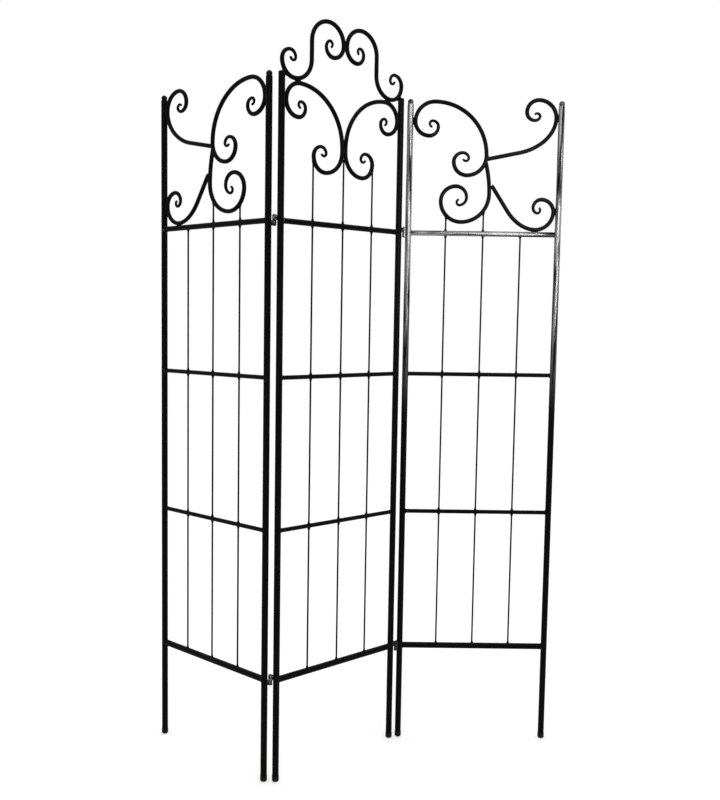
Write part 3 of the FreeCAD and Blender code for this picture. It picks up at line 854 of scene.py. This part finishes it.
@dataclass
class Panel:
    """One panel of the trellis: two posts, four rails, three wires and the scrolls above.

    Nodes are named by the panel's side and the piece, such as left_rail_1 for the bottom rail.
    Touching lists the pairs that are welded, and wire_stops the scroll on which a wire ends.
    Weld_reach limits how far a rail's bead stands from the panel's plane, apart from its swell.
    """

    side: str
    posts: tuple[str, str]
    touching: list[tuple[str, str]]
    wire_stops: dict[int, str]
    rails: int = 4
    wires: int = 3
    rail_bead: float = 1.7 * MM
    weld_reach: float = 8.8 * MM
    wire_bead: float = 1.5 * MM
    seam_half: float = 10.0 * MM
    seam_depth: float = 3.3 * MM
    seam_width: float = 1.7 * MM
    stop_run_up: int = 4
    body: str = field(init=False)
    read: dict[str, SteelNode] = field(init=False, default_factory=dict)

    def __post_init__(self) -> None:
        """Work out which body the panel is."""
        self.body = f"{self.side}_panel"

    def node(self, piece: str) -> SteelNode:
        """The panel's node for a piece, read at the first call.

        Args:
            piece: Name of the piece without the panel's side.

        Returns:
            The node.
        """
        if piece not in self.read:
            self.read[piece] = SteelNode(f"{self.side}_{piece}")
        return self.read[piece]

    def along(self) -> Vector:
        """Direction from the first post to the second one."""
        first, second = (self.node(post).middle for post in self.posts)
        return Vector((second.x - first.x, second.y - first.y, 0.0)).normalized()

    def face(self) -> Vector:
        """Direction square to the panel."""
        return UP.cross(self.along())

    def build(self) -> None:
        """Make the panel's weld beads."""
        self.weld_rails()
        self.weld_wires()
        self.weld_scrolls()

    def weld_rails(self) -> None:
        """Bead round both ends of each rail, low enough to leave room for the folded panels."""
        beads = BeadSet(f"{self.side}_rail_welds", self.body, Slot.RAIL, RAIL_WELD_PAINT)
        for number in range(1, self.rails + 1):
            rail = self.node(f"rail_{number}")
            radius = (rail.high.z - rail.low.z) / 2
            bead = min(self.rail_bead, self.weld_reach - radius)
            for name, way in zip(self.posts, (-self.along(), self.along())):
                post = self.node(name)
                end = Vector((post.middle.x, post.middle.y, rail.middle.z)) - way * (2 * radius)
                beads.ring(end, way, radius, bead, post)
        beads.build()

    def weld_wires(self) -> None:
        """Small bead round each wire where it goes through a rail or ends on a piece."""
        beads = BeadSet(f"{self.side}_wire_welds", self.body, Slot.WIRE)
        for number in range(1, self.wires + 1):
            wire = self.node(f"wire_{number}")
            radius = (wire.high.x - wire.low.x) / 2
            for rail_number in range(1, self.rails + 1):
                rail = self.node(f"rail_{rail_number}")
                crossing = Vector((wire.middle.x, wire.middle.y, rail.middle.z))
                reach = rail.high.z - rail.low.z
                if wire.high.z > rail.high.z:
                    beads.collar(crossing + UP * reach, -UP, radius, self.wire_bead, rail)
                if wire.low.z < rail.low.z:
                    beads.collar(crossing - UP * reach, UP, radius, self.wire_bead, rail)
            if number in self.wire_stops:
                height = wire.high.z - self.stop_run_up * radius
                top = Vector((wire.middle.x, wire.middle.y, height))
                beads.collar(top, UP, radius, self.wire_bead, self.node(self.wire_stops[number]))
        beads.build()

    def weld_scrolls(self) -> None:
        """Bead where each scroll touches a post, a rail or another scroll."""
        beads = BeadSet(f"{self.side}_scroll_welds", self.body, Slot.SCROLL)
        for scroll, other in self.touching:
            bar = self.node(scroll)
            place = bar.touch(self.node(other))
            way = bar.grain(place, self.face())
            beads.seam(place, way, self.face(), self.seam_half, self.seam_depth, self.seam_width)
        beads.build()


def side_panel(side: str) -> Panel:
    """Set out a side panel, whose first post carries the hinges.

    Args:
        side: Left or right.

    Returns:
        The panel.
    """
    touching = [
        ("arch_scroll", "hinge_post"),
        ("lower_scroll", "arch_scroll"),
        ("upper_branch", "arch_scroll"),
        ("upper_branch", "outer_post"),
        ("lower_branch", "lower_scroll"),
        ("lower_branch", "outer_post"),
        ("lower_branch", "rail_4"),
    ]
    stops = {1: "lower_scroll", 2: "lower_scroll"}
    return Panel(side=side, posts=("hinge_post", "outer_post"), touching=touching, wire_stops=stops)


def centre_panel() -> Panel:
    """Set out the centre panel, with two hearts and a crown.

    Returns:
        The panel.
    """
    touching = [("left_heart", "right_heart"), ("left_crown", "right_crown")]
    for half in ("left", "right"):
        touching.append((f"{half}_heart", f"{half}_post"))
        touching.append((f"{half}_crown", f"{half}_heart"))
        touching.append((f"{half}_crown", f"{half}_post"))
    stops = {1: "left_heart", 3: "right_heart"}
    return Panel(
        side="centre", posts=("left_post", "right_post"), touching=touching, wire_stops=stops)


@dataclass
class Hinge:
    """One hinge: a knuckle on the centre panel over a knuckle on a side panel, and their pin."""

    side: str
    level: str
    web_half: float = 2.5 * MM
    bead_half: float = 5.2 * MM
    bead: float = 1.0 * MM

    def build(self) -> None:
        """Make the beads between each knuckle's web and its post."""
        joints = {
            "top": (f"centre_{self.side}_post", "centre_panel"),
            "bottom": (f"{self.side}_hinge_post", f"{self.side}_panel"),
        }
        name = f"{self.side}_{self.level}_hinge"
        axis = SteelNode(f"{name}_pin").middle
        for knuckle, (post, body) in joints.items():
            beads = BeadSet(f"{name}_{knuckle}_welds", body, Slot.HINGE)
            self.weld_web(beads, axis, SteelNode(post), SteelNode(f"{name}_{knuckle}_knuckle"))
            beads.build()

    def weld_web(self, beads: BeadSet, axis: Vector, post: SteelNode, knuckle: SteelNode) -> None:
        """Upright bead on both sides of a knuckle's web.

        Args:
            beads: Where the beads go.
            axis: Point on the hinge's axis.
            post: The post that the web is welded to.
            knuckle: The knuckle with the web.
        """
        height = knuckle.middle.z
        start = Vector((axis.x, axis.y, height))
        way = Vector((post.middle.x - axis.x, post.middle.y - axis.y, 0.0)).normalized()
        side = UP.cross(way)
        for sign in (-1, 1):
            place = post.landing(start + side * (sign * self.web_half), way)
            beads.seam(place, UP, side, self.bead_half, self.bead, self.bead)


class Trellis:
    """The whole folding trellis."""

    def __init__(self) -> None:
        """Set out the panels and the hinges."""
        self.panels = [side_panel("left"), centre_panel(), side_panel("right")]
        self.hinges = [Hinge(side, level) for side in ("left", "right") for level in ("upper", "lower")]

    def build(self) -> None:
        """Make every added piece."""
        for part in self.panels + self.hinges:
            part.build()

    def dress(self) -> None:
        """Give each node of the frame the finish of its slot."""
        for row in frame["record"]["subparts"]:
            slot = Slot(row["material_slot"])
            for held in frame["nodes"][row["node"]].material_slots:
                held.material = FINISHES[slot].material()
            LOG.info("%s: %s", row["node"], FINISHES[slot].name)


@dataclass(frozen=True)
class SoftBox:
    """A rectangular studio lamp. The fan is the full angle that the grid in front of it lets out."""

    name: str
    place: tuple[float, float, float]
    aim: tuple[float, float, float]
    width: float
    height: float
    watts: float
    fan: float = 180.0

    def build(self) -> None:
        """Hang the lamp and turn it to what it lights."""
        lamp = bpy.data.lights.new(self.name, "AREA")
        lamp.shape = "RECTANGLE"
        lamp.size = self.width
        lamp.size_y = self.height
        lamp.energy = self.watts
        lamp.spread = math.radians(self.fan)
        hung = bpy.data.objects.new(self.name, lamp)
        hung.location = self.place
        hung.rotation_euler = (Vector(self.aim) - hung.location).to_track_quat("-Z", "Y").to_euler()
        hung.visible_camera = False
        bpy.context.scene.collection.objects.link(hung)
        LOG.info("%s: %.1f W", self.name, self.watts)


@dataclass(frozen=True)
class PhotoCamera:
    """Camera at the photograph's viewing angle.

    Pixels are in the photograph's frame. Angles are in degrees: pitch down, roll and yaw.
    """

    focal_px: float = 955.2
    centre_px: tuple[float, float] = (328.0, 404.2)
    pitch: float = 4.981
    roll: float = 0.787
    yaw: float = 0.271
    place: tuple[float, float, float] = (-0.0917, -2.3718, 1.1187)
    frame_px: tuple[float, float] = (720.0, 800.0)

    def build(self) -> None:
        """Make the camera and look through it."""
        optics = bpy.data.cameras.new("camera")
        longest = max(self.frame_px)
        optics.lens = self.focal_px * optics.sensor_width / longest
        optics.shift_x = (self.frame_px[0] / 2 - self.centre_px[0]) / longest
        optics.shift_y = (self.centre_px[1] - self.frame_px[1] / 2) / longest
        stand = bpy.data.objects.new("camera", optics)
        turn = Matrix.Rotation(-math.radians(self.yaw), 4, "Z")
        turn = turn @ Matrix.Rotation(math.radians(90.0 - self.pitch), 4, "X")
        turn = turn @ Matrix.Rotation(math.radians(self.roll), 4, "Z")
        stand.matrix_world = Matrix.Translation(self.place) @ turn
        bpy.context.scene.collection.objects.link(stand)
        bpy.context.scene.camera = stand
        LOG.info("camera: %.2f mm lens", optics.lens)


@dataclass
class Studio:
    """White studio: floor, surround, lamps and camera.

    Fill is the surround's strength as a light. The lifts add to the floor's brightness where it is
    seen, from near the object to far from it, and lift_reach gives those two distances.
    """

    floor_half: float = 9.0
    floor_cells: int = 12
    floor_colour: Colour = (0.8, 0.8, 0.8, 1.0)
    grain_scale: float = 40.0
    grain_detail: float = 4.0
    grain_gain: float = 1.03
    near_lift: float = 0.42
    far_lift: float = 0.46
    lift_reach: tuple[float, float] = (0.6, 3.0)
    fill: float = 0.7
    lamps: tuple[SoftBox, ...] = (
        SoftBox(
            "right softbox", place=(0.75, -1.2, 1.55), aim=(0.34, 0.13, 1.45),
            width=0.5, height=0.8, watts=1.2, fan=36.0),
        SoftBox(
            "front strip", place=(-0.5, -2.5, 1.2), aim=(-0.1, 0.0, 1.0),
            width=0.14, height=2.2, watts=3.0),
        SoftBox(
            "top bank", place=(0.0, -0.9, 3.0), aim=(0.0, 0.1, 0.9),
            width=1.4, height=1.4, watts=10.0),
        SoftBox(
            "rear left strip", place=(-1.5, 1.8, 1.3), aim=(0.0, 0.0, 1.0),
            width=0.25, height=1.6, watts=2.0),
        SoftBox(
            "rear right strip", place=(1.6, 1.8, 1.3), aim=(0.0, 0.0, 1.0),
            width=0.25, height=1.6, watts=2.0),
    )

    def build(self) -> None:
        """Set up the whole studio."""
        bpy.context.scene.view_settings.view_transform = "Standard"
        self.surround()
        self.floor()
        for lamp in self.lamps:
            lamp.build()
        PhotoCamera().build()

    def seen(self, wiring: Wiring) -> bpy.types.NodeSocket:
        """Tell what the camera sees, straight or in gloss or glass, from plain light.

        Args:
            wiring: Tree of the surround or of the floor paint.

        Returns:
            The socket with 1 for what is seen and 0 for light.
        """
        path = wiring.node("ShaderNodeLightPath")
        mirrored = wiring.sum(
            Step.MAXIMUM, path.outputs["Is Glossy Ray"], path.outputs["Is Transmission Ray"])
        return wiring.sum(Step.MAXIMUM, path.outputs["Is Camera Ray"], mirrored)

    def surround(self) -> None:
        """White all round where it is seen, and a soft even fill on the object."""
        world = bpy.data.worlds.new("white surround")
        world.use_nodes = True
        world.node_tree.nodes.clear()
        wiring = Wiring(world.node_tree)
        light = wiring.node("ShaderNodeBackground")
        level = wiring.sum(Step.MULTIPLY, self.seen(wiring), 1.0 - self.fill)
        wiring.feed(light.inputs["Strength"], wiring.sum(Step.ADD, level, self.fill))
        light.inputs["Color"].default_value = WHITE
        output = wiring.node("ShaderNodeOutputWorld")
        wiring.feed(output.inputs["Surface"], light.outputs[0])
        bpy.context.scene.world = world

    def floor(self) -> None:
        """Lay a pale floor that keeps the object's shadow and fades into the surround."""
        step = 2 * self.floor_half / self.floor_cells
        count = self.floor_cells + 1
        points = []
        for row in range(count):
            for column in range(count):
                points.append((column * step - self.floor_half, row * step - self.floor_half, 0.0))
        faces = []
        for row in range(self.floor_cells):
            for column in range(self.floor_cells):
                corner = row * count + column
                faces.append((corner, corner + 1, corner + 1 + count, corner + count))
        mesh = bpy.data.meshes.new("studio_floor")
        mesh.from_pydata(points, [], faces)
        mesh.materials.append(self.floor_paint())
        floor = bpy.data.objects.new("studio_floor", mesh)
        bpy.context.scene.collection.objects.link(floor)
        LOG.info("studio_floor: %.0f m wide", 2 * self.floor_half)

    def floor_paint(self) -> bpy.types.Material:
        """Make a matt floor paint, lifted to white where it is seen.

        Returns:
            The material.
        """
        made = bpy.data.materials.new("pale floor")
        made.use_nodes = True
        made.node_tree.nodes.clear()
        wiring = Wiring(made.node_tree)
        place = wiring.node("ShaderNodeTexCoord").outputs["Object"]
        grain = wiring.noise(place, self.grain_scale, self.grain_detail)
        matt = wiring.node("ShaderNodeBsdfDiffuse")
        lighter = tuple(min(1.0, channel * self.grain_gain) for channel in self.floor_colour)
        wiring.feed(matt.inputs["Color"], wiring.blend(grain, self.floor_colour, lighter))
        glow = wiring.node("ShaderNodeEmission")
        glow.inputs["Color"].default_value = WHITE
        wiring.feed(glow.inputs["Strength"], self.lift(wiring, place))
        both = wiring.node("ShaderNodeAddShader")
        wiring.feed(both.inputs[0], matt.outputs[0])
        wiring.feed(both.inputs[1], glow.outputs[0])
        output = wiring.node("ShaderNodeOutputMaterial")
        wiring.feed(output.inputs["Surface"], both.outputs[0])
        return made

    def lift(self, wiring: Wiring, place: Feed) -> bpy.types.NodeSocket:
        """How much the floor is lifted to white, more where the lamps don't reach.

        Args:
            wiring: The floor paint's tree.
            place: Point on the floor.

        Returns:
            The socket with the strength, 0 for light that isn't seen.
        """
        distance = wiring.node("ShaderNodeVectorMath", operation="LENGTH")
        wiring.feed(distance.inputs[0], place)
        far = wiring.window(distance.outputs["Value"], *self.lift_reach)
        rise = wiring.sum(Step.MULTIPLY, far, self.far_lift - self.near_lift)
        return wiring.sum(
            Step.MULTIPLY, self.seen(wiring), wiring.sum(Step.ADD, rise, self.near_lift))


def main() -> None:
    """Dress the trellis and set up the studio."""
    logging.basicConfig(level=logging.INFO, format="%(name)s: %(message)s")
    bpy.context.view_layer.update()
    trellis = Trellis()
    trellis.dress()
    trellis.build()
    Studio().build()


if __name__ == "__main__":
    main()
